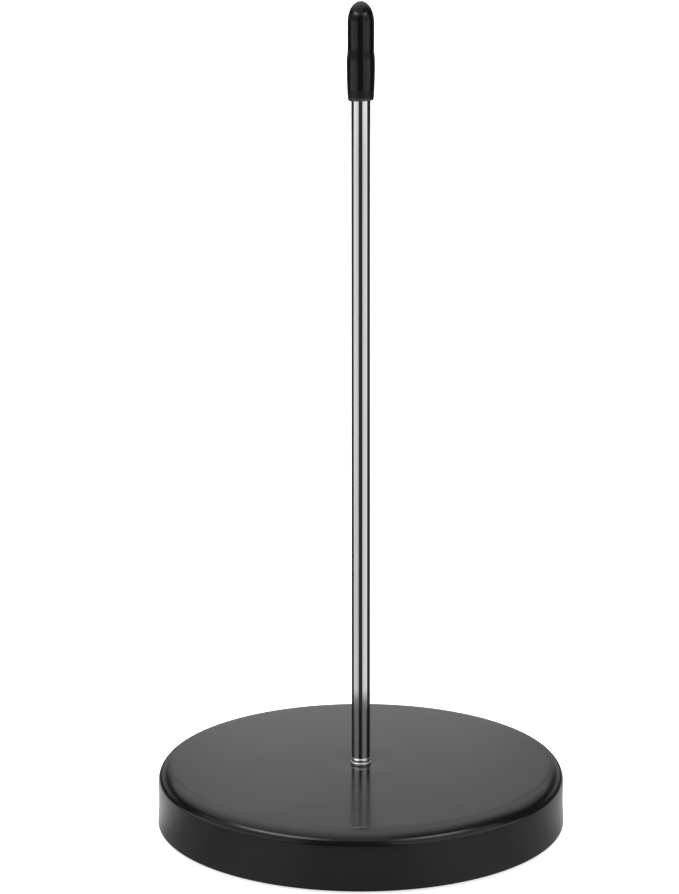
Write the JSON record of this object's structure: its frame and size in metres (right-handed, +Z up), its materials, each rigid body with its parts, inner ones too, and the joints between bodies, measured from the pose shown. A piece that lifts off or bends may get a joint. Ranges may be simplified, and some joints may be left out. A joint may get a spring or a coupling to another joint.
{
  "type": "receipt spike",
  "caption": "Upright spike for loose slips: round weighted base, chromed pointed rod and a soft safety cap that pulls off the point.",
  "frame": {"origin": "centre of the pad's underside, on the surface that the base stands on", "axes": "+Z up the rod, towards the point; the object is round about Z, so X and Y are free"},
  "size_m": [0.0886, 0.0886, 0.1769],
  "materials": {
    "cap_vinyl": "soft vinyl, semi-gloss",
    "bright_chrome": "bright chrome plate",
    "black_paint": "satin black paint",
    "cast_iron": "as cast",
    "zinc_steel": "bright zinc plate",
    "spring_steel": "oiled spring steel",
    "black_foam": "matte closed-cell foam"
  },
  "bodies": {
    "stand": {"spike_rod": "bright_chrome", "foot_collar": "bright_chrome", "base_shell": "black_paint", "ballast_disc": "cast_iron", "flat_washer": "zinc_steel", "spring_washer": "spring_steel", "fixing_nut": "zinc_steel", "bottom_pad": "black_foam"},
    "cap": {"tip_cap": "cap_vinyl"}
  },
  "joints": [
    {"name": "cap_lift", "type": "slide", "parent": "stand", "child": "cap", "axis": [0, 0, 1], "range_m": [0, 0.045]}
  ]
}
